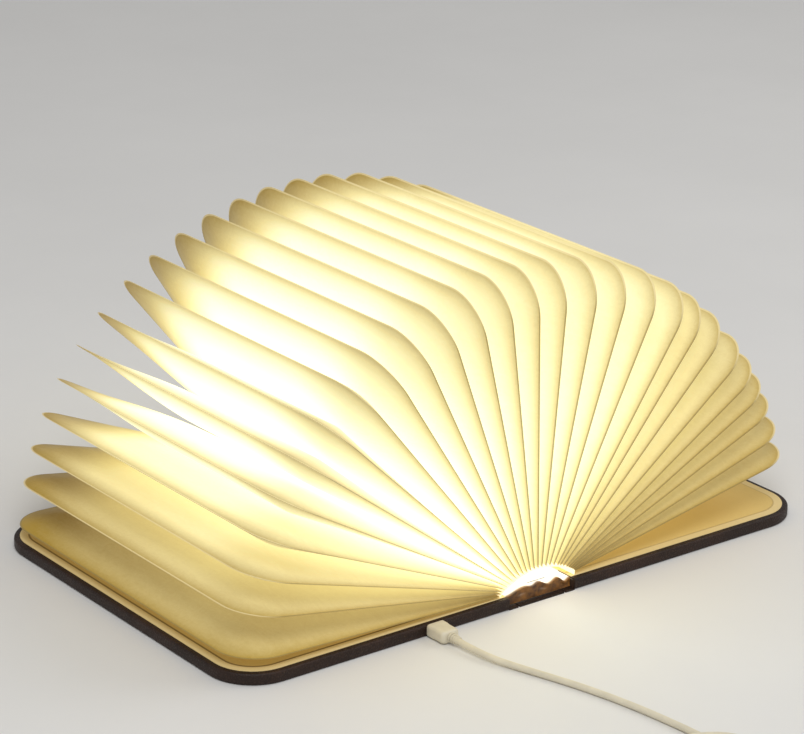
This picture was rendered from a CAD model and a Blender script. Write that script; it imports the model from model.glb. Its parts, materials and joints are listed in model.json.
"""Dresses the packed parts of a folding book lamp, lying open and lit.

Lengths are metres, in the frame's own axes: X across the open covers, Y along the
spine away from the charging edge, Z up from the table.
"""

import json
import math

import bmesh
import bpy
import numpy as np
from mathutils import Matrix, Vector


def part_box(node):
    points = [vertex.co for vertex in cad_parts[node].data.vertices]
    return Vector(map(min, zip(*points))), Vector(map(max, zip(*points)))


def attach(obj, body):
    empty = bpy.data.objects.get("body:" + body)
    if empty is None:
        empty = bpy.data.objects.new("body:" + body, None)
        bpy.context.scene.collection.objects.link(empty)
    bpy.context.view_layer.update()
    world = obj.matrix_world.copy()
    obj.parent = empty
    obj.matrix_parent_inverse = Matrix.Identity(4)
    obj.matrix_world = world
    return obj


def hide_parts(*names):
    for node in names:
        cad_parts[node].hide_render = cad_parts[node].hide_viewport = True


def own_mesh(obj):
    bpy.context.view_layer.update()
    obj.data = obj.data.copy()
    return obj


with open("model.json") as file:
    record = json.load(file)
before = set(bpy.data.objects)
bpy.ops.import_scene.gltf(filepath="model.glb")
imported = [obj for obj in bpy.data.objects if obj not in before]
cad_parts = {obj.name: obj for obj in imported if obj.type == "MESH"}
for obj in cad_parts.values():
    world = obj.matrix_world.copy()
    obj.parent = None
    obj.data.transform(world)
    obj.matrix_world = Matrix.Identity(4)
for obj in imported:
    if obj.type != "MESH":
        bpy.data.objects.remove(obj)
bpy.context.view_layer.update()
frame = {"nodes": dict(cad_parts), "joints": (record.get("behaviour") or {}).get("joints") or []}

bl_info = {
    "name": "Folding book lamp",
    "version": (1, 0, 0),
    "blender": (4, 5, 0),
    "location": "View3D > Sidebar > Book lamp",
    "description": "Leaves, covers, light and charging lead of a folding book lamp",
    "category": "Object",
}

MM = 0.001
NODES = frame["nodes"]
LEAVES = sorted(name for name in NODES if name.startswith("leaf_"))
FOLD_Z = next(joint["pos_m"][2] for joint in frame["joints"]
              if joint["name"] == "cover_fold")

COVER_LOW, COVER_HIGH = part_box("right_cover_skin")
BOARD_LOW, BOARD_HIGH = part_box("right_cover_board")
LINING_LOW, LINING_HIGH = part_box("right_lining")
STRIP_LOW, STRIP_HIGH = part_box("spine_strip")
GRIP_LOW, GRIP_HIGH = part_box("micro_plug_grip")
RELIEF_LOW, RELIEF_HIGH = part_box("micro_plug_relief")
SHELL_LOW, SHELL_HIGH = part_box("micro_plug_shell")
BIG_GRIP_LOW, BIG_GRIP_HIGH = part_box("usb_a_grip")
CHIPS_LOW, CHIPS_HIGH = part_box("leds")

SKIN_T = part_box("spine_skin")[1].z
COVER_T = COVER_HIGH.z
BOARD_START = BOARD_LOW.x
HALF_LENGTH = (COVER_HIGH.y - COVER_LOW.y) / 2
HALF_SPAN = COVER_HIGH.x
PLUG = ((GRIP_LOW.x + GRIP_HIGH.x) / 2, (GRIP_LOW.z + GRIP_HIGH.z) / 2)
BIG_PLUG = ((BIG_GRIP_LOW.x + BIG_GRIP_HIGH.x) / 2, (BIG_GRIP_LOW.z + BIG_GRIP_HIGH.z) / 2)

# How far the first page's edge lies inside the lining's edge
PAGE_INSET = 4.3 * MM
# Width of the rubbed leather along an edge
RUBBED_WIDTH = 2.2 * MM


# Settings

def number_of(text, value, low=0.0, high=1.0, subtype="FACTOR", unit="NONE"):
    """A number property."""
    return bpy.props.FloatProperty(name=text, description=text, default=value, min=low,
                                   max=high, subtype=subtype, unit=unit)


def length_of(text, value, low=0.0, high=1.0):
    """A length property, in metres."""
    return number_of(text, value, low, high, "DISTANCE", "LENGTH")


def angle_of(text, degrees):
    """An angle property."""
    return number_of(text, math.radians(degrees), -math.pi, math.pi, "ANGLE", "ROTATION")


def power_of(text, watts):
    """A lamp's power, in watts."""
    return number_of(text, watts, 0.0, 1000.0, "POWER", "POWER")


def colour_of(text, value):
    """A colour property."""
    return bpy.props.FloatVectorProperty(name=text, description=text, default=value,
                                         size=3, min=0.0, max=1.0, subtype="COLOR")


class BookLampLeafSettings(bpy.types.PropertyGroup):
    """Sizes and colours of the paper leaves."""

    corner: length_of("Radius of a leaf's outer corners", 20 * MM)
    seam: length_of("Thickness of the glued seam", 0.2 * MM)
    lip: length_of("Width of the flat glued lip", 0.7 * MM)
    rise: length_of("Distance over which a pocket fills out", 46 * MM)
    fullness: number_of("Share of the space between two leaves that a pocket fills", 0.86)
    fade: length_of("Distance over which the rim's shade fades", 5 * MM)
    taper: length_of("Length of the thin far ends of the leaves that lean over", 80 * MM)
    rim_paper: colour_of("Paper at the rim", (0.44, 0.285, 0.032))
    mid_paper: colour_of("Paper beside the rim", (0.775, 0.69, 0.37))
    lit_paper: colour_of("Paper well inside a leaf", (0.86, 0.852, 0.73))
    rim_glow: colour_of("Light through the rim", (0.035, 0.022, 0.004))
    mid_glow: colour_of("Light beside the rim", (0.23, 0.207, 0.115))
    lit_glow: colour_of("Light through the middle of a leaf", (0.56, 0.556, 0.45))


class BookLampCoverSettings(bpy.types.PropertyGroup):
    """Sizes and colours of the covers."""

    corner: length_of("Radius of a cover's outer corners", 23 * MM)
    bottom_edge: length_of("Radius of the lower edge", 1.3 * MM)
    top_edge: length_of("Radius of the upper edge", 1.1 * MM)
    turn_in: length_of("Width of the skin turned in over the board", 12 * MM)
    pebble: length_of("Size of the grain's pebbles", 1.3 * MM)
    leather: colour_of("Leather", (0.017, 0.0075, 0.0045))
    leather_light: colour_of("Leather on its raised and worn places", (0.050, 0.022, 0.013))
    lining: colour_of("Paper lining", (0.76, 0.60, 0.28))


class BookLampHubSettings(bpy.types.PropertyGroup):
    """Sizes and colours of the light tube, its chips and the strip under it."""

    chip_count: bpy.props.IntProperty(name="Chips", description="Number of light chips",
                                      default=12, min=2, max=60)
    chip_length: length_of("Length of a light chip", 3.5 * MM)
    strip: colour_of("Wavy strip", (0.16, 0.064, 0.010))
    tube_glow: colour_of("Light of the tube", (1.0, 0.93, 0.72))


class BookLampLeadSettings(bpy.types.PropertyGroup):
    """Sizes and colours of the charging lead."""

    diameter: length_of("Diameter of the lead", 3 * MM)
    big_relief: length_of("Length of the large plug's strain relief", 9 * MM)
    plastic: colour_of("Lead and plugs", (0.74, 0.68, 0.53))
    metal: colour_of("Plated steel", (0.60, 0.60, 0.62))


class BookLampStageSettings(bpy.types.PropertyGroup):
    """Camera, lamps and floor."""

    azimuth: angle_of("Camera's azimuth", -36.96)
    elevation: angle_of("Camera's elevation", 20.12)
    roll: angle_of("Camera's roll", 0.31)
    distance: length_of("Distance of the camera", 1.44588, 0.1, 10.0)
    aim: bpy.props.FloatVectorProperty(
        name="Aim", description="Point that the camera looks at",
        default=(-0.00138, 0.00221, 0.08163), size=3, subtype="TRANSLATION",
        unit="LENGTH")
    focal: number_of("Camera's focal length in millimetres", 138.20, 10, 400, "NONE")
    floor: colour_of("Floor", (0.80, 0.79, 0.77))
    key_power: power_of("Power of the key lamp", 15.0)
    fill_power: power_of("Power of the fill lamp", 7.0)
    sky: number_of("Strength of the light all round", 0.42)


SETTINGS = {
    "book_lamp_leaf": BookLampLeafSettings,
    "book_lamp_cover": BookLampCoverSettings,
    "book_lamp_hub": BookLampHubSettings,
    "book_lamp_lead": BookLampLeadSettings,
    "book_lamp_stage": BookLampStageSettings,
}


def setting(group):
    """The scene's values of one settings group."""
    return getattr(bpy.context.scene, "book_lamp_" + group)


# Building node trees

class Value:
    """A value that a node tree works out, which takes plain arithmetic."""

    def __init__(self, tree, socket):
        self.tree, self.socket = tree, socket

    def __add__(self, other):
        return self.tree.math("ADD", self, other)

    def __sub__(self, other):
        return self.tree.math("SUBTRACT", self, other)

    def __rsub__(self, other):
        return self.tree.math("SUBTRACT", other, self)

    def __mul__(self, other):
        return self.tree.math("MULTIPLY", self, other)

    def __truediv__(self, other):
        return self.tree.math("DIVIDE", self, other)

    def __pow__(self, other):
        return self.tree.math("POWER", self, other)

    def __abs__(self):
        return self.tree.math("ABSOLUTE", self)

    __radd__, __rmul__ = __add__, __mul__

    def at_least(self, other):
        return self.tree.math("MAXIMUM", self, other)

    def at_most(self, other):
        return self.tree.math("MINIMUM", self, other)

    def root(self):
        return self.tree.math("SQRT", self)

    def held(self):
        """The same value, held between 0 and 1."""
        self.socket.node.use_clamp = True
        return self


class Tree:
    """A node tree, built one node a call."""

    def feed(self, socket, value):
        """Links a socket to a value, or sets it to a constant."""
        if isinstance(value, Value):
            self.tree.links.new(value.socket, socket)
        elif socket.type == "RGBA":
            socket.default_value = (*value[:3], 1.0)
        else:
            socket.default_value = value

    def node(self, kind, inputs=None, **options):
        made = self.tree.nodes.new(kind)
        for key, value in options.items():
            setattr(made, key, value)
        for key, value in (inputs or {}).items():
            self.feed(made.inputs[key], value)
        return made

    def get(self, kind, inputs=None, output=0, **options):
        """What a new node gives out."""
        return Value(self, self.node(kind, inputs, **options).outputs[output])

    def math(self, operation, *values, kind="ShaderNodeMath"):
        return self.get(kind, dict(enumerate(values)), operation=operation)

    def axes(self, vector):
        """The three parts of a vector."""
        parts = self.node("ShaderNodeSeparateXYZ", {"Vector": vector})
        return [Value(self, part) for part in parts.outputs]

    def span(self, value, low, high, to_low=0.0, to_high=1.0, smooth=False):
        """Maps low..high to to_low..to_high, and holds it there."""
        return self.get("ShaderNodeMapRange",
                        {"Value": value, "From Min": low, "From Max": high,
                         "To Min": to_low, "To Max": to_high},
                        interpolation_type="SMOOTHSTEP" if smooth else "LINEAR")


class Shader(Tree):
    """A material on a Principled shader."""

    def __init__(self, name, **constants):
        self.material = bpy.data.materials.new(name)
        self.material.use_nodes = True
        self.tree = self.material.node_tree
        self.tree.nodes.clear()
        self.surface = self.node("ShaderNodeBsdfPrincipled")
        self.node("ShaderNodeOutputMaterial",
                  {"Surface": Value(self, self.surface.outputs["BSDF"])})
        self.set(**constants)

    def set(self, **values):
        """Sets or links the shader's sockets: base_color is its Base Color."""
        for key, value in values.items():
            words = [w.upper() if w == "ior" else w.capitalize() for w in key.split("_")]
            self.feed(self.surface.inputs[" ".join(words)], value)

    def place(self):
        """Object coordinates."""
        return self.get("ShaderNodeTexCoord", output="Object")

    def stretched(self, along):
        """Object coordinates, with the pattern drawn out along Y."""
        return self.get("ShaderNodeMapping", {"Vector": self.place(),
                                              "Scale": (1.0, along, 1.0)})

    def noise(self, scale, detail=4.0, roughness=0.55, vector=None, distortion=0.0):
        return self.get("ShaderNodeTexNoise",
                        {"Vector": vector or self.place(), "Scale": scale,
                         "Detail": detail, "Roughness": roughness,
                         "Distortion": distortion})

    def cells(self, scale, feature="DISTANCE_TO_EDGE", vector=None):
        return self.get("ShaderNodeTexVoronoi",
                        {"Vector": vector or self.place(), "Scale": scale},
                        "Distance", feature=feature)

    def between(self, share, first, second):
        """A colour between two others."""
        made = self.node("ShaderNodeMix", {"Factor": share, 6: first, 7: second},
                         data_type="RGBA")
        return Value(self, made.outputs[2])

    def attribute(self, name):
        return self.get("ShaderNodeAttribute", None, "Fac", attribute_name=name)

    def bump(self, height, distance, strength=1.0):
        return self.get("ShaderNodeBump", {"Height": height, "Distance": distance,
                                           "Strength": strength})


class Grower(Tree):
    """A Geometry Nodes tree."""

    def __init__(self, name):
        self.tree = bpy.data.node_groups.new(name, "GeometryNodeTree")
        for way in ("INPUT", "OUTPUT"):
            self.tree.interface.new_socket("Geometry", in_out=way,
                                           socket_type="NodeSocketGeometry")
        self.entry = self.tree.nodes.new("NodeGroupInput")
        self.exit = self.tree.nodes.new("NodeGroupOutput")

    def inputs(self, *names, kind="Float"):
        """Adds named inputs and returns what they bring in."""
        for name in names:
            self.tree.interface.new_socket(name, in_out="INPUT",
                                           socket_type="NodeSocket" + kind)
        return [Value(self, self.entry.outputs[name]) for name in names]

    def vector(self, x, y, z):
        return self.get("ShaderNodeCombineXYZ", {"X": x, "Y": y, "Z": z})

    def keep(self, geometry, name, value):
        """Stores a value on the points under a name that a material reads."""
        return self.get("GeometryNodeStoreNamedAttribute",
                        {"Geometry": geometry, "Name": name, "Value": value},
                        data_type="FLOAT", domain="POINT")

    def moved(self, geometry, **change):
        return self.get("GeometryNodeTransform", {"Geometry": geometry, **change})

    def joined(self, *parts):
        made = self.node("GeometryNodeJoinGeometry")
        for part in parts:
            self.feed(made.inputs[0], part)
        return Value(self, made.outputs[0])

    def row(self, count, start, step, thing, **change):
        """Copies of a thing in a row along Y."""
        line = self.get("GeometryNodeMeshLine",
                        {"Count": count, "Start Location": start,
                         "Offset": self.vector(0.0, step, 0.0)}, mode="OFFSET")
        return self.get("GeometryNodeInstanceOnPoints",
                        {"Points": line, "Instance": thing, **change})

    def finish(self, geometry, material):
        """Ends the tree: instances made real, material set."""
        real = self.get("GeometryNodeRealizeInstances", {"Geometry": geometry})
        painted = self.get("GeometryNodeSetMaterial",
                           {"Geometry": real, "Material": material})
        self.feed(self.exit.inputs[0], painted)
        return self.tree


# Materials

def dimmed(colour, share):
    """A darker form of a colour."""
    return tuple(share * part for part in colour)


def fibres(shader):
    """Height of spun-bonded paper: long fine fibres that lie in swirls."""
    scale = 260.0
    swirl = shader.noise(scale, 6.0, 0.62, distortion=2.4)
    lengthwise = shader.noise(scale, 3.0, 0.6, shader.stretched(0.16), 1.2)
    return 0.6 * swirl + 0.4 * lengthwise


def leaf_paper():
    """Translucent paper, lit from the hub: golden at the rims, near white inside."""
    s = setting("leaf")
    shader = Shader("leaf_paper", roughness=0.62, sheen_weight=0.12, sheen_roughness=0.5,
                    specular_ior_level=0.32, emission_strength=1.0)
    grain = fibres(shader)
    share = (shader.attribute("light") + shader.span(grain, 0.3, 0.7, -0.035, 0.035)).held()
    rim_end, middle = 0.03, 0.47
    low, high = shader.span(share, rim_end, middle), shader.span(share, middle, 1.0)

    def through(rim, mid, lit):
        return shader.between(high, shader.between(low, rim, mid), lit)

    # along the ends the glued lip shows as a fine dark line; the outer edge is bright
    outer = shader.span(shader.attribute("reach"), 0.86, 0.96, smooth=True)
    seam = shader.span(shader.attribute("rim"), 0.55 * MM, 1.05 * MM, 1.0, 0.0, True)
    edge = seam * shader.span(outer, 0.0, 1.0, 0.62, 0.45)
    lip_paper = shader.between(outer, (0.23, 0.175, 0.075), (0.86, 0.79, 0.54))
    lip_glow = shader.between(outer, (0.05, 0.038, 0.014), (0.30, 0.265, 0.15))
    shader.set(base_color=shader.between(
                   edge, through(s.rim_paper, s.mid_paper, s.lit_paper), lip_paper),
               emission_color=shader.between(
                   edge, through(s.rim_glow, s.mid_glow, s.lit_glow), lip_glow),
               normal=shader.bump(grain, 0.06 * MM, 0.55))
    return shader.material


def lining_paper():
    """Paper glued on a cover, lit by the leaves over it."""
    shader = Shader("lining_paper", roughness=0.66, specular_ior_level=0.3,
                    emission_strength=1.0)
    x, y, _ = shader.axes(shader.place())
    near_hub = shader.span(abs(x), HALF_SPAN, BOARD_START)
    mid_way = shader.span(abs(y), HALF_LENGTH, HALF_LENGTH * 2 / 3, 0.25, 1.0, True)
    grain = fibres(shader)
    share = (near_hub * mid_way + shader.span(grain, 0.3, 0.7, -0.04, 0.04)).held()
    rim = shader.attribute("rim")
    # the first page's edge is a darker line, plainer on the right cover
    line = (shader.span(rim, PAGE_INSET - 0.6 * MM, PAGE_INSET - 0.2 * MM, smooth=True)
            * shader.span(rim, PAGE_INSET + 0.1 * MM, PAGE_INSET + 0.7 * MM, 1.0, 0.0, True)
            * shader.span(x, -MM, MM, 0.8, 0.3))
    border = shader.span(rim, PAGE_INSET - 0.2 * MM, PAGE_INSET + 0.2 * MM, 0.55, 0.0)
    paper = shader.between(share, (0.56, 0.41, 0.15), setting("cover").lining)
    paper = shader.between(border, paper, (0.66, 0.57, 0.36))
    glow = shader.between(share, (0.12, 0.08, 0.02), (0.26, 0.19, 0.06))
    shader.set(base_color=shader.between(line, paper, (0.16, 0.09, 0.03)),
               emission_color=shader.between(line, glow, (0.02, 0.01, 0.0)),
               normal=shader.bump(grain, 0.06 * MM, 0.5))
    return shader.material


def leather():
    """Dark pebble-grained leather, a little lighter where it is raised or worn."""
    s = setting("cover")
    shader = Shader("cover_leather", specular_ior_level=0.32)
    sway = 0.9 * MM
    warp = shader.get("ShaderNodeTexNoise", {"Vector": shader.place(), "Scale": 240.0,
                                             "Detail": 2.0}, "Color")
    bent = shader.math("MULTIPLY_ADD", warp, (sway, sway, sway), shader.place(),
                       kind="ShaderNodeVectorMath")
    pebbles = shader.span(shader.cells(1 / s.pebble, vector=bent), 0.02, 0.34, smooth=True)
    creases = shader.span(shader.noise(95.0, 5.0, 0.6, distortion=1.5), 0.38, 0.62)
    pores = shader.span(shader.noise(1900.0, 2.0), 0.42, 0.6)
    height = 0.75 * pebbles + (0.35 * creases + 0.12 * pores)
    mottle = shader.span(shader.noise(26.0, 5.0, 0.6), 0.35, 0.7, 0.0, 0.4)
    worn = shader.attribute("wear") * shader.span(shader.noise(60.0, 6.0, 0.7),
                                                  0.42, 0.68, 0.0, 0.8)
    share = (pebbles * mottle + worn).held()
    shader.set(base_color=shader.between(share, s.leather, s.leather_light),
               roughness=shader.span(height, 0.0, 1.2, 0.62, 0.40),
               normal=shader.bump(height, 0.16 * MM, 0.8))
    return shader.material


def wavy_leather():
    """Thin brown strip with the hub's light shining through it."""
    shader = Shader("strip_leather", roughness=0.42, emission_strength=1.3,
                    specular_ior_level=0.5)
    grain = shader.noise(420.0, 5.0, 0.6)
    streak = shader.noise(180.0, 3.0, 0.5, shader.stretched(0.1))
    share = shader.span(grain + streak, 0.8, 1.2)
    _, y, z = shader.axes(shader.place())
    # its upper side, past the ends, lies in the full light of the tube
    end = STRIP_HIGH.y
    lit = (shader.span(abs(y), end - 0.5 * MM, end - 2.5 * MM, smooth=True)
           * shader.span(z, 2.6 * MM, 3.4 * MM))
    edge = shader.between(share, (0.010, 0.004, 0.001), (0.055, 0.022, 0.003))
    shader.set(base_color=shader.between(share, (0.05, 0.018, 0.004), setting("hub").strip),
               emission_color=shader.between(lit, edge, (1.0, 0.97, 0.80)),
               normal=shader.bump(grain, 0.08 * MM, 0.6))
    return shader.material


def soft_plastic(name, colour, roughness=0.42, glow=None):
    """Moulded plastic with a faint mottle and a fine moulded grain."""
    shader = Shader(name, specular_ior_level=0.45)
    mottle = shader.span(shader.noise(120.0, 4.0), 0.3, 0.7)
    grain = shader.noise(2600.0, 2.0)
    shader.set(base_color=shader.between(mottle, dimmed(colour, 0.86), colour),
               roughness=shader.span(grain, 0.3, 0.7, roughness - 0.05, roughness + 0.07),
               normal=shader.bump(grain, 0.02 * MM, 0.5))
    if glow:
        shader.set(emission_color=glow, emission_strength=1.0)
    return shader.material


def metal(name, colour, roughness=0.26):
    """Plated metal with fine lengthwise streaks."""
    shader = Shader(name, metallic=1.0)
    streak = shader.noise(900.0, 3.0, 0.6, shader.stretched(0.05))
    smear = shader.span(shader.noise(150.0, 4.0, 0.6), 0.3, 0.7)
    shader.set(base_color=shader.between(smear, dimmed(colour, 0.88), colour),
               roughness=shader.span(streak, 0.3, 0.7, roughness - 0.07, roughness + 0.1),
               normal=shader.bump(streak, 0.015 * MM, 0.5))
    return shader.material


def tube_light():
    """Frosted diffuser with the light of the chips behind it."""
    glow = setting("hub").tube_glow
    shader = Shader("diffuser_light", roughness=0.5, base_color=(0.9, 0.88, 0.8),
                    emission_strength=1.15)
    frost = shader.noise(1400.0, 2.0)
    cloud = shader.span(frost, 0.3, 0.7)
    shader.set(emission_color=shader.between(cloud, dimmed(glow, 0.94), glow),
               normal=shader.bump(frost, 0.03 * MM, 0.5))
    return shader.material


def fold_paper():
    """The row of inner folds, right over the light."""
    shader = Shader("fold_paper", roughness=0.6, emission_strength=1.0)
    grain = fibres(shader)
    share = shader.span(grain, 0.35, 0.65)
    shader.set(base_color=shader.between(share, (0.80, 0.72, 0.50), (0.86, 0.80, 0.60)),
               emission_color=shader.between(share, (0.74, 0.62, 0.36),
                                             (0.88, 0.76, 0.48)),
               normal=shader.bump(grain, 0.05 * MM, 0.5))
    return shader.material


def board_card():
    """Pressed grey-brown card, bound in dark paper along its inner edge."""
    shader = Shader("board_card", roughness=0.85, emission_strength=1.0)
    flecks = shader.noise(700.0, 5.0, 0.7)
    x, y, z = shader.axes(shader.place())
    bound = shader.span(abs(x), BOARD_START + 0.3 * MM, BOARD_START + 0.5 * MM, 1.0, 0.0)
    card = shader.between(shader.span(flecks, 0.35, 0.65), (0.30, 0.24, 0.17),
                          (0.46, 0.38, 0.28))
    # away from its ends the top of that edge lies in the light of the tube
    top = BOARD_HIGH.z
    lit = (bound * shader.span(abs(y), HALF_LENGTH - 1 * MM, HALF_LENGTH - 4 * MM)
           * shader.span(z, top - 1.2 * MM, top - 0.4 * MM))
    shader.set(base_color=shader.between(bound, card, (0.040, 0.018, 0.009)),
               emission_color=shader.between(lit, (0.0, 0.0, 0.0), (1.0, 0.93, 0.70)),
               normal=shader.bump(flecks, 0.08 * MM, 0.7))
    return shader.material


def circuit_mask():
    """Solder mask over fine tracks."""
    shader = Shader("circuit_mask", roughness=0.35)
    tracks = shader.node("ShaderNodeTexBrick",
                         {"Vector": shader.place(), "Scale": 180.0, "Mortar Size": 0.06,
                          "Color1": (0.02, 0.12, 0.05), "Color2": (0.03, 0.16, 0.07),
                          "Mortar": (0.06, 0.28, 0.12)})
    colour, gaps = (Value(shader, tracks.outputs[name]) for name in ("Color", "Fac"))
    shader.set(base_color=colour, normal=shader.bump(gaps, 0.03 * MM, 0.5))
    return shader.material


def crinkled_foil():
    """Embossed pouch foil of the cell."""
    shader = Shader("cell_foil", metallic=0.9)
    crinkle = shader.cells(420.0, "SMOOTH_F1")
    shader.set(base_color=shader.between(shader.span(crinkle, 0.0, 1.0),
                                         (0.58, 0.59, 0.61), (0.72, 0.73, 0.75)),
               roughness=shader.span(crinkle, 0.0, 1.0, 0.28, 0.42),
               normal=shader.bump(crinkle, 0.05 * MM, 0.6))
    return shader.material


# Building meshes

def added(name, data):
    """A new object in the scene."""
    made = bpy.data.objects.new(name, data)
    bpy.context.scene.collection.objects.link(made)
    return made


def mesh_of(name, verts, faces, material):
    """A new mesh from points and faces."""
    mesh = bpy.data.meshes.new(name)
    mesh.from_pydata([tuple(v) for v in verts], [], faces)
    mesh.materials.append(material)
    return mesh


def smooth(mesh, sharp):
    """Shades a mesh smooth, but for edges sharper than this many degrees."""
    mesh.polygons.foreach_set("use_smooth", [True] * len(mesh.polygons))
    mesh.set_sharp_from_angle(angle=math.radians(sharp))


def cleaned(name, mesh, sharp):
    """A piece from a mesh: doubles merged, faces turned outwards, shading set."""
    work = bmesh.new()
    work.from_mesh(mesh)
    bmesh.ops.remove_doubles(work, verts=work.verts, dist=0.0001 * MM)
    bmesh.ops.recalc_face_normals(work, faces=work.faces)
    work.to_mesh(mesh)
    work.free()
    smooth(mesh, sharp)
    mesh.update()
    return added(name, mesh)


def lofted(name, rings, material, sharp=35.0):
    """A closed piece through a row of rings with equal counts."""
    count = len(rings[0])
    faces = [list(range(count))[::-1]]
    for start in range(0, count * (len(rings) - 1), count):
        for j in range(count):
            a, b = start + j, start + (j + 1) % count
            faces.append([a, b, b + count, a + count])
    faces.append([(len(rings) - 1) * count + j for j in range(count)])
    verts = [point for ring in rings for point in ring]
    return cleaned(name, mesh_of(name, verts, faces, material), sharp)


def join(name, *pieces):
    """Joins pieces of one material into one under a new name."""
    material = pieces[0].data.materials[0]
    verts, faces = [], []
    for part in pieces:
        start = len(verts)
        verts += [v.co.copy() for v in part.data.vertices]
        faces += [[start + i for i in p.vertices] for p in part.data.polygons]
        bpy.data.objects.remove(part)
    mesh = mesh_of(name, verts, faces, material)
    smooth(mesh, sharp=35.0)
    return added(name, mesh)


def arc(centre, radius, start, end, steps):
    """Points on an arc, angles in degrees."""
    return [(centre[0] + radius * math.cos(turn), centre[1] + radius * math.sin(turn))
            for turn in np.radians(np.linspace(start, end, steps + 1))]


def sweep_box(name, centre, sections, material):
    """A body lofted along Y through rounded rectangles (y, width, height, corner)."""
    rings = []
    for y, width, height, corner in sections:
        x, z = width / 2 - corner, height / 2 - corner
        ring = []
        for side, end, start in ((x, z, 0), (-x, z, 90), (-x, -z, 180), (x, -z, 270)):
            ring += arc((centre[0] + side, centre[1] + end), corner, start, start + 90, 6)
        rings.append([(px, y, pz) for px, pz in ring])
    return lofted(name, rings, material, sharp=50.0)


def sweep_round(name, centre, sections, material):
    """A body turned about an axis along Y, through (y, radius)."""
    rings = [[(x, y, z) for x, z in arc(centre, radius, 0, 360, steps=40)[:-1]]
             for y, radius in sections]
    return lofted(name, rings, material, sharp=40.0)


def evaluated(piece, modifier):
    """Gives a piece the mesh that its modifier makes, and takes the modifier off."""
    bpy.context.view_layer.update()
    dressed = piece.evaluated_get(bpy.context.evaluated_depsgraph_get())
    mesh = bpy.data.meshes.new_from_object(dressed)
    piece.modifiers.remove(modifier)
    piece.data = mesh


def grow(name, tree, values):
    """A piece made by a tree with these inputs, as a plain mesh."""
    made = added(name, bpy.data.meshes.new(name))
    modifier = made.modifiers.new("Growth", "NODES")
    modifier.node_group = tree
    for item in tree.interface.items_tree:
        if item.item_type == "SOCKET" and item.in_out == "INPUT" and item.name in values:
            modifier[item.identifier] = values[item.name]
    evaluated(made, modifier)
    made.data.name = name
    return made


def mark_inside(piece, name, reach, half, corner, value_of):
    """Marks points with a value from their distance inside a round-cornered outline."""
    points = np.array([v.co for v in piece.data.vertices])
    past = np.abs(points[:, :2]) - (reach - corner, half - corner)
    inside = corner - np.hypot(*np.maximum(past, 0).T) - np.minimum(past.max(1), 0)
    values = value_of(inside, points[:, 2]).astype(np.float32)
    piece.data.attributes.new(name, "FLOAT", "POINT").data.foreach_set("value", values)


def stand_in(piece, body, slot, *nodes):
    """Lets a piece ride on its body in the place of these solids."""
    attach(piece, body)
    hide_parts(*nodes)
    return piece


def dress(material, *nodes):
    """Gives carried-over solids their material."""
    for node in nodes:
        if not NODES[node].material_slots:
            raise RuntimeError(node + " has no material slot")
        for slot in NODES[node].material_slots:
            slot.material = material


def copy_of(node, name, material):
    """A merged, smooth copy of a solid, under a new name."""
    mesh = NODES[node].data.copy()
    mesh.materials.clear()
    mesh.materials.append(material)
    return cleaned(name, mesh, sharp=40.0)


# The charging lead

# Centre line up to the coil, in millimetres
ROUTE = (
    (-61.5, -120.7, 3.3), (-61.5, -124, 3.2), (-61, -129, 3), (-60, -136, 2.6),
    (-58, -144, 2.2), (-55.3, -152, 1.9), (-52.5, -160, 1.7), (-49.8, -168, 1.6),
    (-47.3, -176, 1.6), (-45, -184, 1.6), (-43, -192, 1.6), (-41.2, -200, 1.6),
    (-39.7, -208, 1.6), (-38.4, -216, 1.6), (-37.3, -224, 1.6), (-36.4, -232, 1.6),
    (-35.6, -240, 1.6), (-35, -248, 1.6), (-34.5, -256, 1.7), (-34.1, -264, 2),
    (-34, -272, 2.3), (-34, -276, 2.4),
)
# The coil, in millimetres: its two layers, and the step out to the large plug
COIL_CENTRE = (-56.175, -279)
COIL_OUT_R, COIL_IN_R, TURN_PITCH, PLUG_STEP = 22.175, 8.375, 3.45, 8.175
COIL_LOW, COIL_HIGH, BIG_PLUG_MM, CLIMB_DIP = 2.4, 5.85, 4.4, 0.6
# Where it ends its way in, starts its way out and ends, in steps of a turn
TURN_STEPS, INWARD, OUTWARD, COIL_LAST = 24, 96, 108, 216

# Sections of a grip: share of its length from the front, millimetres further back, how
# much narrower and lower it is there than at its largest, and its corners' radius
SMALL_GRIP = (
    (0, 0, 1.6, 1.6, 0.9), (0, 0.15, 0.8, 0.8, 1.2), (0, 0.6, 0.15, 0.15, 1.5),
    (0, 1.2, 0, 0, 1.6), (0.30, 0, 0, 0, 1.6), (0.45, 0, 0.35, 0.30, 1.6),
    (0.65, 0, 0.45, 0.35, 1.6), (0.82, 0, 0.2, 0.15, 1.7), (1, -1.0, 0.5, 0.3, 1.9),
    (1, -0.35, 1.5, 0.9, 1.9), (1, 0, 3.0, 1.9, 1.6),
)
BIG_GRIP = (
    (0, 0, 1.4, 1.4, 1.2), (0, 0.2, 0.5, 0.5, 1.6), (0, 0.8, 0, 0, 2.0),
    (0, 8, 0, 0, 2.0), (0, 12, 0.5, 0.4, 2.0), (0, 17, 0.4, 0.3, 2.0),
    (1, -0.8, 0.6, 0.4, 2.2), (1, 0, 2.5, 1.4, 2.0),
)
# Radius of a rib's own round, as a share of the rib's radius
RIB_ROUND = 0.11


def ease(t):
    """Smooth step from 0 to 1."""
    return (1 - math.cos(math.pi * min(max(t, 0.0), 1.0))) / 2


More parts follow.
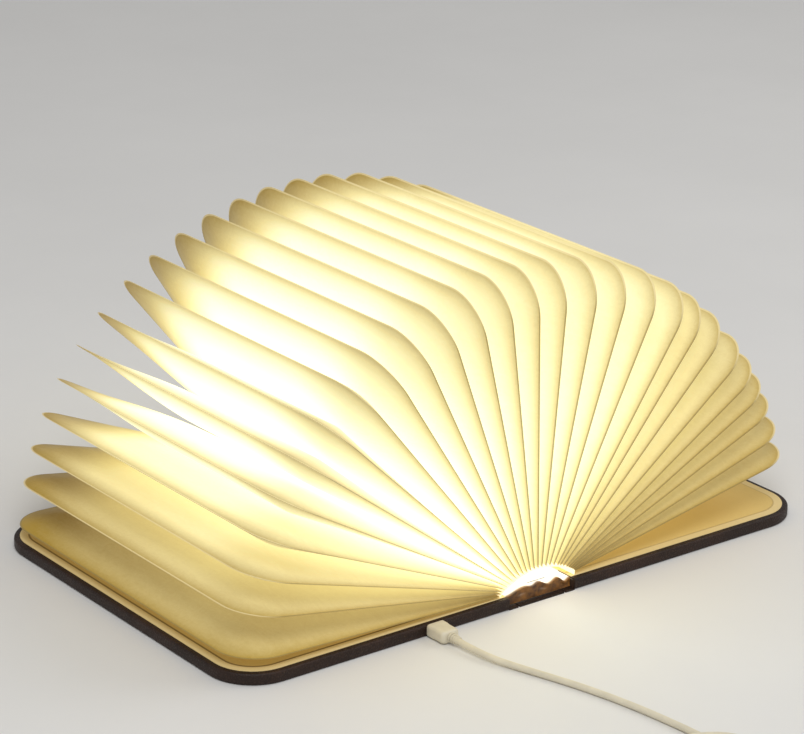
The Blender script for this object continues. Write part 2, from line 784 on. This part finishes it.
def coil_point(k):
    """Point on the coil, k steps from its start."""
    half_turn = TURN_STEPS / 2
    landing = (k - COIL_LAST + half_turn) / half_turn
    if k <= INWARD:
        radius, z = COIL_OUT_R - TURN_PITCH * k / TURN_STEPS, COIL_LOW
    elif k <= OUTWARD:
        climb = (k - INWARD) / half_turn
        radius = COIL_IN_R - CLIMB_DIP * math.sin(math.pi * climb)
        z = COIL_LOW + TURN_PITCH * ease(climb)
    else:
        radius = (COIL_IN_R + TURN_PITCH * (k - OUTWARD) / TURN_STEPS
                  + PLUG_STEP * ease(landing))
        z = COIL_HIGH + (BIG_PLUG_MM - COIL_HIGH) * ease(4 * landing - 3)
    turn = -2 * math.pi * k / TURN_STEPS
    return (COIL_CENTRE[0] + radius * math.cos(turn),
            COIL_CENTRE[1] + radius * math.sin(turn), z)


def rounded_route(points, steps=4):
    """A smooth line through the route's points."""
    fine = []
    for k in range(len(points) - 1):
        near = [np.array(points[min(max(j, 0), len(points) - 1)])
                for j in (k - 1, k, k + 1, k + 2)]
        for t in (step / steps for step in range(steps)):
            fine.append(0.5 * (2 * near[1] + (near[2] - near[0]) * t
                               + (2 * near[0] - 5 * near[1] + 4 * near[2] - near[3]) * t ** 2
                               + (3 * near[1] - near[0] - 3 * near[2] + near[3]) * t ** 3))
    return fine + [np.array(points[-1])]


def lead_line():
    """Centre line of the whole lead, from the small plug to the large one."""
    line = [tuple(p) for p in rounded_route(ROUTE)]
    line += [coil_point(k / 2) for k in range(2 * COIL_LAST + 1)]
    tip = coil_point(COIL_LAST)
    line.append((tip[0], tip[1] - 3, BIG_PLUG_MM))
    return [tuple(MM * c for c in p) for p in line]


def rib_tree():
    """Moulded ribs along a strain relief, each a little smaller than the last."""
    g = Grower("Relief ribs")
    (count,) = g.inputs("Count", kind="Int")
    (start,) = g.inputs("Start", kind="Vector")
    step, first, last, thick = g.inputs("Step", "First radius", "Last radius", "Thickness")
    (material,) = g.inputs("Material", kind="Material")
    loop = g.get("GeometryNodeCurvePrimitiveCircle", {"Resolution": 36, "Radius": 1.0})
    profile = g.get("GeometryNodeCurvePrimitiveCircle", {"Resolution": 10, "Radius": 1.0})
    thin = g.moved(profile, Scale=(RIB_ROUND, RIB_ROUND, RIB_ROUND))
    ring = g.get("GeometryNodeCurveToMesh", {"Curve": loop, "Profile Curve": thin})
    upright = g.moved(ring, Rotation=(math.pi / 2, 0.0, 0.0))
    share = g.get("GeometryNodeInputIndex") / (count - 1.0)
    radius = share * (last - first) + first
    size = g.vector(radius, thick / (2 * RIB_ROUND), radius)
    return g.finish(g.row(count, start, step, upright, Scale=size), material)


class BOOKLAMP_OT_lead(bpy.types.Operator):
    """Makes the charging lead, its two plugs and their strain reliefs"""

    bl_idname = "booklamp.lead"
    bl_label = "Charging lead"

    def execute(self, context):
        s = setting("lead")
        cream = soft_plastic("lead_plastic", s.plastic, 0.40, (0.012, 0.010, 0.006))
        line = lead_line()
        cord = self.cord(line, s.diameter, cream)
        plugs = [self.small_plug(cream), self.big_plug(cream, s.big_relief)]
        stand_in(cord, "charging_lead", "lead_cream", "cable_run", "cable_coil")
        shells = [NODES[n] for n in ("micro_plug_shell", "usb_a_shell", "usb_a_tongue",
                                     "coil_tie")]
        plugs + shells
        return {"FINISHED"}

    def cord(self, line, diameter, material):
        curve = bpy.data.curves.new("charging_cord", "CURVE")
        curve.dimensions = "3D"
        curve.bevel_depth = diameter / 2
        curve.bevel_resolution = 5
        curve.use_fill_caps = True
        spline = curve.splines.new("POLY")
        spline.points.add(len(line) - 1)
        for point, place in zip(spline.points, line):
            point.co = (*place, 1.0)
        curve.materials.append(material)
        return added("charging_cord", curve)

    def grip(self, name, centre, low, high, ends, sections, material):
        """A plug's grip in the box from low to high, with its front and back on Y."""
        front, back = ends
        way = math.copysign(MM, back - front)
        return sweep_box(name, centre, [
            (front + share * (back - front) + off * way,
             high.x - low.x - narrower * MM, high.z - low.z - lower * MM, corner * MM)
            for share, off, narrower, lower, corner in sections], material)

    def ribs(self, name, centre, material, count, start, step, first, last, thick):
        """Ribs in a row along Y, from the first radius to the last."""
        return grow(name, rib_tree(), {
            "Count": count, "Start": (centre[0], start, centre[1]), "Step": step,
            "First radius": first, "Last radius": last, "Thickness": thick,
            "Material": material})

    def small_plug(self, cream):
        grip = self.grip("small_grip", PLUG, GRIP_LOW, GRIP_HIGH,
                         (GRIP_HIGH.y, GRIP_LOW.y), SMALL_GRIP, cream)
        radius, back = (RELIEF_HIGH.x - RELIEF_LOW.x) / 2, RELIEF_HIGH.y
        relief = sweep_round("relief_core", PLUG, [
            (back, radius - 0.75 * MM), (RELIEF_LOW.y, 1.6 * MM)], cream)
        ribs = self.ribs("relief_ribs", PLUG, cream, count=4, start=back - 0.9 * MM,
                         step=-1.35 * MM, first=radius - 0.45 * MM, last=1.75 * MM,
                         thick=0.9 * MM)
        return stand_in(join("small_plug", grip, relief, ribs), "charging_lead",
                        "lead_cream", "micro_plug_grip", "micro_plug_relief")

    def big_plug(self, cream, relief_length):
        back = BIG_GRIP_HIGH.y - relief_length
        grip = self.grip("big_grip", BIG_PLUG, BIG_GRIP_LOW, BIG_GRIP_HIGH,
                         (BIG_GRIP_LOW.y, back), BIG_GRIP, cream)
        relief = sweep_round("big_relief", BIG_PLUG, [
            (back - 0.5 * MM, 2.7 * MM), (BIG_GRIP_HIGH.y, 1.75 * MM)], cream)
        ribs = self.ribs("big_relief_ribs", BIG_PLUG, cream, count=5,
                         start=back + 1.2 * MM, step=1.6 * MM, first=2.5 * MM,
                         last=1.75 * MM, thick=0.8 * MM)
        return stand_in(join("big_plug", grip, relief, ribs), "charging_lead",
                        "lead_cream", "usb_a_grip")


# The leaves

# Points across a sheet and along it
SHEET_ACROSS, SHEET_ALONG = 44, 64
# How steeply a sheet swells inside its lip
SWELL_POWER = 2.2
# Distance from the open side over which a pocket reaches its full height
MOUTH = 2 * MM
# Distance from a leaf's edge over which its seam reaches its thickness
SEAM_EDGE = 0.3 * MM
# Share of the half length from which an end is shaded, up to its full shade
END_SHADE = (0.38, 0.94)
# Share of the light that the outer edge loses, and its near and far corners
OUTER_LOSS, NEAR_LOSS, FAR_LOSS = 0.12, 0.35, 0.90
# Share of the rim's shade that full light takes away
RIM_GAIN = 0.3
# Share of its missing light that a dim leaf loses once more at its far end
DIM_FALL = 0.9
# Degrees off the table up to which a leaf gets less light, on the left and the right
LOW_LEFT, LOW_RIGHT = 30.0, 62.0
# Share of the light that a leaf flat on the table still gets
LEAST_LIGHT = 0.34
# Degrees off the table, on the left, where thin far ends start and stop, and the
# degrees over which they do
THIN_START, THIN_STOP, THIN_START_OVER, THIN_STOP_OVER = 13.0, 62.0, 12.0, 14.0
# How much more of the space a leaf fills towards a flat lining than towards a leaf
BESIDE_LINING = 1.5


def leaf_tree():
    """A paper pocket: two sheets that swell between three glued edges.

    It lies in the X-Y plane with its open side on the Y axis, and is then turned and
    moved to its place in the fan. Side A faces up before that turn.
    """
    g = Grower("Leaf pocket")
    (width, length, corner, lip, seam, rise, fullness, fade, glow, taper,
     bright_lip) = g.inputs("Width", "Length", "Corner", "Lip", "Seam", "Rise", "Fullness",
                            "Fade", "Glow", "Taper", "Bright lip")
    gaps = [g.inputs("Gap " + side, "Spread " + side) for side in "AB"]
    place, turn = g.inputs("Place", "Turn", kind="Vector")
    (material,) = g.inputs("Material", kind="Material")

    grid = g.get("GeometryNodeMeshGrid", {"Size X": 1.0, "Size Y": 1.0,
                                          "Vertices X": SHEET_ACROSS,
                                          "Vertices Y": SHEET_ALONG})
    u, v, _ = g.axes(g.get("GeometryNodeInputPosition"))
    # rows and columns lie closer together towards the edges
    across = 0.5 - 0.5 * g.math("COSINE", (u + 0.5) * math.pi)
    half = length * 0.5
    y = half * g.math("SINE", v * math.pi)
    past_y = abs(y) - (half - corner)
    in_corner = past_y.at_least(0.0)
    bow = (corner * corner - in_corner * in_corner).at_least(0.0).root()
    straight = width - corner
    x = across * (straight + bow)
    past_x = x - straight
    # distance from the round-cornered outline
    diagonal = (past_x.at_least(0.0) ** 2.0 + in_corner * in_corner).root()
    rim = corner - diagonal - past_x.at_least(past_y).at_most(0.0)
    filled = ((rim - lip) / rise).held()
    # some leaves stay thin towards their far outer corner
    off_x, off_y = width - x, half - y
    thin = g.span((off_x * off_x + off_y * off_y).root(), 0.0, taper, smooth=True)
    swell = (1.0 - (1.0 - filled) ** SWELL_POWER) * thin
    mouth = (x / MOUTH).held().root()
    shut = (rim.at_most(x) / SEAM_EDGE).held() * (seam * 0.5)
    # the light comes from the hub, so the outer edge and the ends get less
    reach = x / width
    loss = g.math("GREATER_THAN", y, 0.0) * (FAR_LOSS - NEAR_LOSS) + NEAR_LOSS
    end = g.span(abs(y / half), *END_SHADE, smooth=True) * loss
    far = reach * reach
    dim = (1.0 - OUTER_LOSS * far) * (1.0 - far * end)
    inner = 1.0 - g.math("EXPONENT", -1.0 * (rim / fade)) * (1.0 - RIM_GAIN * glow)
    # the leaves with little light lose the rest of it towards their far end
    away = DIM_FALL * (y / length + 0.5)
    light = glow * dim * inner * (1.0 - away * (1.0 - glow))

    marked = g.keep(grid, "rim", rim)
    marked = g.keep(marked, "light", light)
    marked = g.keep(marked, "reach", reach * bright_lip)
    sheets = []
    for (gap, spread), way in zip(gaps, (1.0, -1.0)):
        fill = (spread * x + gap) * fullness * (swell * mouth)
        sheets.append(g.get("GeometryNodeSetPosition", {
            "Geometry": marked, "Position": g.vector(x, y, (0.5 * fill + shut) * way)}))
    sheets[1] = g.get("GeometryNodeFlipFaces", {"Mesh": sheets[1]})
    closed = g.get("GeometryNodeMergeByDistance",
                   {"Geometry": g.joined(*sheets), "Distance": 0.004 * MM})
    return g.finish(g.moved(closed, Translation=place, Rotation=turn), material)


def leaf_place(name):
    """Mouth point, direction and width of a leaf, measured on its solid."""
    mesh = NODES[name].data
    normal = max(mesh.polygons, key=lambda face: face.area).normal
    along = np.array([normal.z, -normal.x])
    points = np.array([v.co for v in mesh.vertices])[:, [0, 2]]
    if (points.mean(0) - (0.0, FOLD_Z)) @ along < 0:
        along = -along
    across = np.array([-along[1], along[0]])
    reach, side = points @ along, points @ across
    start = along * reach.min() + across * (side.max() + side.min()) / 2
    return start, along, reach.max() - reach.min()


def room_beside(place, other):
    """Space from a leaf to its neighbour at the mouth, and its growth outwards."""
    start, along, width = place
    normal = np.array([-other[1][1], other[1][0]])
    near = abs((start - other[0]) @ normal)
    far = abs((start + width * along - other[0]) @ normal)
    return near, (far - near) / width


def glow_of(along):
    """Share of the light that a leaf shows: the lowest leaves get less of it."""
    tilt = math.degrees(math.atan2(along[1], along[0]))
    share = min(1.0, max(180.0 - tilt, 0.0) / LOW_LEFT, max(tilt, 0.0) / LOW_RIGHT)
    return LEAST_LIGHT + (1 - LEAST_LIGHT) * share


def lean_of(along):
    """Length of a leaf's thin far end: a share, full for those that lean to the left."""
    tilt = 180.0 - math.degrees(math.atan2(along[1], along[0]))
    return max(0.01, min(1.0, (tilt - THIN_START) / THIN_START_OVER,
                         (THIN_STOP - tilt) / THIN_STOP_OVER))


class BOOKLAMP_OT_leaves(bpy.types.Operator):
    """Makes the paper leaves, puffed out between their glued edges"""

    bl_idname = "booklamp.leaves"
    bl_label = "Paper leaves"

    def execute(self, context):
        s = setting("leaf")
        tree = leaf_tree()
        shared = {"Corner": s.corner, "Lip": s.lip, "Seam": s.seam, "Rise": s.rise,
                  "Fullness": s.fullness, "Fade": s.fade, "Material": leaf_paper()}
        lining = np.array([0.0, LINING_HIGH.z])
        row = [(lining, np.array([-1.0, 0.0]), 0.0), *map(leaf_place, LEAVES),
               (lining, np.array([1.0, 0.0]), 0.0)]
        for k, name in enumerate(LEAVES, 1):
            start, along, width = row[k]
            low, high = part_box(name)
            values = {**shared, "Width": width, "Length": high.y - low.y,
                      "Glow": glow_of(along), "Taper": s.taper * lean_of(along),
                      "Bright lip": float(k > 1), "Place": (start[0], 0.0, start[1]),
                      "Turn": (0.0, -math.atan2(along[1], along[0]), 0.0)}
            for side, other in (("A", k - 1), ("B", k + 1)):
                near, spread = room_beside(row[k], row[other])
                share = BESIDE_LINING if other in (0, len(row) - 1) else 1.0
                values["Gap " + side] = near * share
                values["Spread " + side] = spread * share
            piece = grow(name + "_pocket", tree, values)
            piece.data.set_sharp_from_angle(angle=math.radians(70))
            stand_in(piece, name, "leaf_paper", name)
            -along[1]
            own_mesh(piece)
        return {"FINISHED"}


# The covers

def cover_edge(side, corner):
    """Points round a cover's free edges, each with its inward direction."""
    points = [(BOARD_START, -HALF_LENGTH, 0.0, 1.0)]
    for y, start in ((-HALF_LENGTH + corner, -90), (HALF_LENGTH - corner, 0)):
        for c, s in arc((0.0, 0.0), 1.0, start, start + 90, steps=13):
            points.append((HALF_SPAN - corner + corner * c, y + corner * s, -c, -s))
    points.append((BOARD_START, HALF_LENGTH, 0.0, -1.0))
    return [(side * x, y, side * ix, iy) for x, y, ix, iy in points]


def cover_leather(side, name, material):
    """Skin of a cover: wrapped round the board's three free edges and turned in."""
    s = setting("cover")
    low, top, turn = s.bottom_edge, s.top_edge, s.turn_in
    section = [(turn, COVER_T)]
    section += arc((top, COVER_T - top), top, 90, 180, steps=6)
    section += arc((low, low), low, 180, 270, steps=6)
    section += [(turn, 0.0), (turn, SKIN_T), (low, SKIN_T), (SKIN_T, low),
                (SKIN_T, COVER_T - top), (top, COVER_T - SKIN_T),
                (turn, COVER_T - SKIN_T)]
    edge = cover_edge(side, s.corner)
    wrap = lofted(name + "_wrap", [[(x + o * ix, y + o * iy, z) for o, z in section]
                                   for x, y, ix, iy in edge], material)
    flap, start = side * COVER_LOW.x, side * BOARD_START
    under = [(flap, -HALF_LENGTH), (start, -HALF_LENGTH),
             *((x + turn * ix, y + turn * iy) for x, y, ix, iy in edge),
             (start, HALF_LENGTH), (flap, HALF_LENGTH)]
    plate = lofted(name + "_under", [[(x, y, z) for x, y in under]
                                     for z in (0.0, SKIN_T)], material)
    if side < 0:
        open_socket(wrap, material)
    skin = join(name, wrap, plate)
    mark_inside(skin, "wear", HALF_SPAN, HALF_LENGTH, s.corner, rubbed)
    return skin


def rubbed(inside, z):
    """How much lighter the skin is rubbed: most along its wrapped edges."""
    off = np.minimum(np.hypot(inside, z), np.hypot(inside, COVER_T - z))
    return np.clip(1 - off / RUBBED_WIDTH, 0, 1)


def open_socket(wrap, material):
    """Opens the left cover's wrap in front of the socket."""
    room, deep, corner = 0.6 * MM, 3 * MM, 0.6 * MM
    wide, high = SHELL_HIGH.x - SHELL_LOW.x + room, SHELL_HIGH.z - SHELL_LOW.z + room
    cutter = sweep_box("socket_opening", PLUG, [
        (-HALF_LENGTH + off, wide, high, corner) for off in (-deep, deep)], material)
    cut = wrap.modifiers.new("Opening", "BOOLEAN")
    cut.operation, cut.solver, cut.object = "DIFFERENCE", "EXACT", cutter
    evaluated(wrap, cut)
    bpy.data.objects.remove(cutter)


def lining(side, name, material):
    """Two sheets glued on a cover: the lining, and the first page a little inside it."""
    low, high = LINING_LOW, LINING_HIGH
    reach, half = high.x, (high.y - low.y) / 2
    corner = setting("cover").corner - (HALF_SPAN - reach)
    bevel, middle = 0.05 * MM, 26 * MM
    step = low.z + 0.6 * (high.z - low.z)
    rings = []
    for inset, z in ((0.0, low.z), (0.0, step - bevel), (bevel, step), (PAGE_INSET, step),
                     (PAGE_INSET + bevel, high.z), (middle, high.z)):
        r = max(corner - inset, 1 * MM)
        out, end = reach - inset - r, half - inset - r
        ring = [(low.x, -half + inset), *arc((out, -end), r, -90, 0, steps=12),
                *arc((out, end), r, 0, 90, steps=12), (low.x, half - inset)]
        rings.append([(side * x, y, z) for x, y in ring])
    piece = lofted(name, rings, material, sharp=30.0)
    mark_inside(piece, "rim", reach, half, corner, lambda inside, z: inside)
    return piece


class BOOKLAMP_OT_covers(bpy.types.Operator):
    """Makes both covers' leather, wrapped round the boards and turned in"""

    bl_idname = "booklamp.covers"
    bl_label = "Covers"

    def execute(self, context):
        skin = leather()
        sides = ((-1, "left"), (1, "right"))
        for side, word in sides:
            stand_in(cover_leather(side, word + "_cover_leather", skin), word + "_cover",
                     "skin", word + "_cover_skin")
        dress(skin, "spine_skin")
        dress(board_card(), "left_cover_board", "right_cover_board")
        paper = lining_paper()
        for side, word in sides:
            stand_in(lining(side, word + "_lining_sheets", paper), word + "_cover",
                     "lining_paper", word + "_lining")
        return {"FINISHED"}


# The hub and the parts inside

# Share of their width that the inner folds and the strip keep at the joint's longer limit
# Height left over a light chip's body for its window, and the window's own sizes
WINDOW_ROOM, WINDOW_RADIUS, WINDOW_T = 0.1 * MM, 1.15 * MM, 0.3 * MM
# How far the window's middle lies over the body's middle
WINDOW_UP = 0.35 * MM


def chip_tree():
    """Light chips in a row: a small body with a phosphor window on it."""
    g = Grower("Light chips")
    (count,) = g.inputs("Count", kind="Int")
    (pitch,) = g.inputs("Pitch")
    start, size = g.inputs("Start", "Size", kind="Vector")
    (material,) = g.inputs("Material", kind="Material")
    body = g.get("GeometryNodeMeshCube", {"Size": size})
    window = g.get("GeometryNodeMeshCylinder", {"Vertices": 24, "Radius": WINDOW_RADIUS,
                                                "Depth": WINDOW_T})
    lifted = g.moved(window, Translation=(0.0, 0.0, WINDOW_UP))
    return g.finish(g.row(count, start, pitch, g.joined(body, lifted)), material)


class BOOKLAMP_OT_hub(bpy.types.Operator):
    """Makes the light tube, its chips, the inner folds and the wavy strip"""

    bl_idname = "booklamp.hub"
    bl_label = "Hub"

    def execute(self, context):
        folds = copy_of("fold_band", "inner_folds", fold_paper())
        stand_in(folds, "spine", "leaf_paper", "fold_band")
        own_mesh(folds)
        strip = self.strip(wavy_leather())
        stand_in(strip, "spine", "strip_brown", "spine_strip")
        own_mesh(strip)
        stand_in(self.chips(setting("hub")), "spine", "led_phosphor", "leds")
        dress(tube_light(), "diffuser")
        return {"FINISHED"}

    def strip(self, material):
        """The wavy strip, with its two ends turned down to the spine's skin."""
        strip = copy_of("spine_strip", "strip_sheet", material)
        column, margin = 0.05 * MM, 0.35 * MM
        crest = {}
        for vertex in strip.data.vertices:
            x, y, z = vertex.co
            if abs(y - STRIP_LOW.y) < 0.01 * MM:
                key = round(x / column)
                crest[key] = max(crest.get(key, -1.0), z)
        bottom = SKIN_T + margin
        parts = [strip]
        for end, inward in ((STRIP_LOW.y, MM), (STRIP_HIGH.y, -MM)):
            rings = []
            for key, z in sorted(crest.items()):
                x, top, middle = key * column, z - margin, (z - margin + bottom) / 2
                # the turned-down end bulges a little in and out along its length
                bulge = 0.35 * math.sin(x / (2 * MM))
                # millimetres in from the strip's end, and the height there
                rings.append([(x, end + inward * off, height) for off, height in (
                    (0.0, top), (0.8, top), (1.3 + bulge, middle),
                    (0.9, bottom), (0.1, bottom), (0.5 + bulge, middle))])
            parts.append(lofted("strip_end", rings, material))
        return join("wavy_strip", *parts)

    def chips(self, s):
        phosphor = soft_plastic("led_window", (0.92, 0.80, 0.42), 0.45, (1.0, 0.88, 0.58))
        high = CHIPS_HIGH.z - CHIPS_LOW.z - WINDOW_ROOM
        first, last = CHIPS_LOW.y + s.chip_length / 2, CHIPS_HIGH.y - s.chip_length / 2
        return grow("light_chips", chip_tree(), {
            "Count": s.chip_count, "Start": (0.0, first, CHIPS_LOW.z + high / 2),
            "Pitch": (last - first) / (s.chip_count - 1),
            "Size": (CHIPS_HIGH.x - CHIPS_LOW.x, s.chip_length, high),
            "Material": phosphor})


class BOOKLAMP_OT_workings(bpy.types.Operator):
    """Finishes the parts inside the covers and on the plugs"""

    bl_idname = "booklamp.workings"
    bl_label = "Inner parts and plugs"

    def execute(self, context):
        dress(metal("plated_steel", setting("lead").metal), "usb_socket",
              "micro_plug_shell", "usb_a_shell")
        dress(metal("nickel", (0.66, 0.64, 0.60), 0.2), "left_magnets", "right_magnets",
              "sensor_magnet")
        dress(crinkled_foil(), "battery")
        dress(circuit_mask(), "driver_board")
        for name, colour, roughness, nodes in (
                ("wire_red", (0.45, 0.02, 0.015), 0.42, ["battery_leads"]),
                ("wire_cream", (0.80, 0.74, 0.56), 0.42, ["lamp_leads"]),
                ("chip_black", (0.018, 0.018, 0.020), 0.5, ["board_parts", "usb_tongue"]),
                ("white_laminate", (0.80, 0.80, 0.76), 0.35, ["led_board", "usb_a_tongue"]),
                ("reed_glass", (0.22, 0.30, 0.26), 0.12, ["reed_switch"]),
                ("tie_band", (0.62, 0.58, 0.47), 0.8, ["coil_tie"])):
            dress(soft_plastic(name, colour, roughness), *nodes)
        return {"FINISHED"}


# The stage

class BOOKLAMP_OT_stage(bpy.types.Operator):
    """Sets up the camera, the lamps and the floor"""

    bl_idname = "booklamp.stage"
    bl_label = "Stage"

    def execute(self, context):
        s = setting("stage")
        scene = context.scene
        scene.view_settings.view_transform = "Standard"
        scene.camera = self.camera(s)
        floor = self.floor(s)
        self.lamp("key_lamp", (-0.7, -1.0, 1.5), 0.9, s.key_power)
        self.lamp("fill_lamp", (1.3, -0.5, 1.1), 1.2, s.fill_power)
        world = bpy.data.worlds.new("soft_light")
        world.use_nodes = True
        sky = world.node_tree.nodes["Background"]
        sky.inputs["Color"].default_value = (1.0, 1.0, 1.0, 1.0)
        sky.inputs["Strength"].default_value = s.sky
        scene.world = world
        return {"FINISHED"}

    def camera(self, s):
        az, el, roll = s.azimuth, s.elevation, s.roll
        back = Vector((math.sin(az) * math.cos(el), -math.cos(az) * math.cos(el),
                       math.sin(el)))
        right = Vector((0, 0, 1)).cross(back).normalized()
        up = back.cross(right)
        across = math.cos(roll) * right + math.sin(roll) * up
        upward = -math.sin(roll) * right + math.cos(roll) * up
        turn = Matrix((across, upward, back)).transposed().to_4x4()
        data = bpy.data.cameras.new("photo_view")
        data.lens, data.sensor_width = s.focal, 36.0
        camera = added("photo_view", data)
        camera.matrix_world = Matrix.Translation(Vector(s.aim) + back * s.distance) @ turn
        return camera

    def floor(self, s):
        shader = Shader("pale_floor", roughness=0.55, specular_ior_level=0.3)
        cloud = shader.span(shader.noise(5.0, 5.0, 0.6), 0.3, 0.7)
        shader.set(base_color=shader.between(cloud, dimmed(s.floor, 0.96), s.floor))
        far = 4.0
        corners = [(-far, -far, 0), (far, -far, 0), (far, far, 0), (-far, far, 0)]
        return added("floor", mesh_of("floor", corners, [[0, 1, 2, 3]], shader.material))

    def lamp(self, name, place, size, power):
        """A round lamp, turned to the middle of the open book."""
        data = bpy.data.lights.new(name, "AREA")
        data.shape, data.size, data.energy = "DISK", size, power
        made = added(name, data)
        aim = Vector((0, 0, 0.05)) - Vector(place)
        made.rotation_euler = aim.to_track_quat("-Z", "Y").to_euler()
        made.location = place


class BOOKLAMP_PT_panel(bpy.types.Panel):
    """Lists the lamp's settings and the steps that make it"""

    bl_idname = "BOOKLAMP_PT_panel"
    bl_label = "Folding book lamp"
    bl_space_type = "VIEW_3D"
    bl_region_type = "UI"
    bl_category = "Book lamp"

    def draw(self, context):
        for step in STEPS:
            self.layout.operator(step.bl_idname)
        for name, group in SETTINGS.items():
            box = self.layout.box()
            box.label(text=group.__doc__)
            for key in group.__annotations__:
                box.prop(getattr(context.scene, name), key)


STEPS = (BOOKLAMP_OT_stage, BOOKLAMP_OT_lead, BOOKLAMP_OT_leaves, BOOKLAMP_OT_covers,
         BOOKLAMP_OT_hub, BOOKLAMP_OT_workings)


def register():
    for group in (*SETTINGS.values(), *STEPS, BOOKLAMP_PT_panel):
        bpy.utils.register_class(group)
    for name, group in SETTINGS.items():
        setattr(bpy.types.Scene, name, bpy.props.PointerProperty(type=group))


def unregister():
    for name in SETTINGS:
        delattr(bpy.types.Scene, name)
    for group in (BOOKLAMP_PT_panel, *reversed(STEPS), *SETTINGS.values()):
        bpy.utils.unregister_class(group)


def main():
    register()
    bpy.ops.booklamp.stage()
    bpy.ops.booklamp.lead()
    bpy.ops.booklamp.leaves()
    bpy.ops.booklamp.covers()
    bpy.ops.booklamp.hub()
    bpy.ops.booklamp.workings()


if __name__ == "__main__":
    main()
